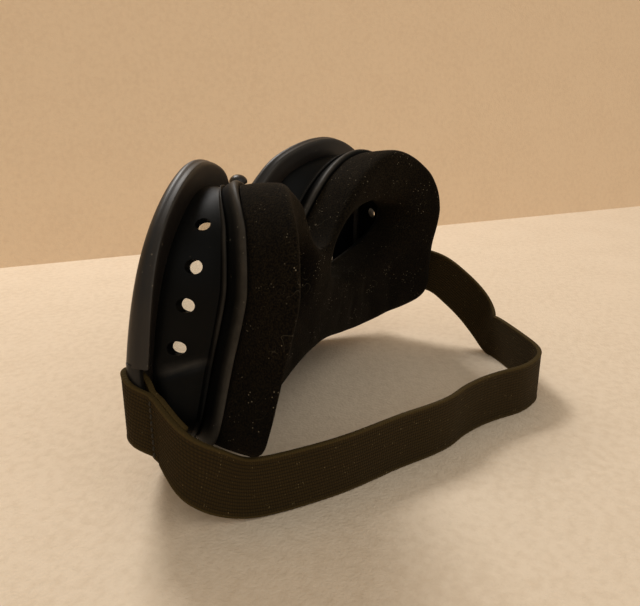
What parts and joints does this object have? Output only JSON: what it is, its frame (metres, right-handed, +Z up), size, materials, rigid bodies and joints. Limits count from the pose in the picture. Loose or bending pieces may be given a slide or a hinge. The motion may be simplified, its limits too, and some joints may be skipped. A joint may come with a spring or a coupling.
{
  "type": "goggles",
  "caption": "Soft-frame airsoft goggles with a clear curved lens, side vents, a velour-covered face pad and an elastic head strap, standing upside down on the brow edge.",
  "frame": {"origin": "on the floor under the middle of the brow edge that the goggles stand on", "axes": "+X towards the wearer's right (the goggles stand upside down), +Y back towards the face and the strap, +Z up from the floor"},
  "size_m": [0.1854, 0.1237, 0.0998],
  "materials": {
    "frame_rubber": "satin",
    "lens_clear": "clear gloss",
    "seal_rubber": "matte",
    "pad_foam": "open foam",
    "velour": "short pile",
    "stud_plastic": "matte",
    "bar_plastic": "matte",
    "elastic": "ribbed weave",
    "thread": "twisted thread"
  },
  "bodies": {
    "frame": {"outer_rim": "frame_rubber", "lens": "lens_clear", "lens_seal": "seal_rubber", "frame_wall": "frame_rubber", "face_flange": "frame_rubber", "pad_foam": "pad_foam", "pad_velour": "velour", "nose_stud": "stud_plastic", "strap_bar_left": "bar_plastic", "strap_bar_right": "bar_plastic", "strap": "elastic"},
    "strap_end_left": {"strap_loop_left": "elastic", "stitching_left": "thread"},
    "strap_end_right": {"strap_loop_right": "elastic", "stitching_right": "thread"}
  },
  "joints": [
    {"name": "strap_pivot_left", "type": "hinge", "parent": "frame", "child": "strap_end_left", "pos_m": [-0.0888, 0.0225, 0.035], "axis": [0, 0, 1], "range_deg": [-10, 10]},
    {"name": "strap_pivot_right", "type": "hinge", "parent": "frame", "child": "strap_end_right", "pos_m": [0.0888, 0.0225, 0.035], "axis": [0, 0, 1], "range_deg": [-10, 10]}
  ]
}
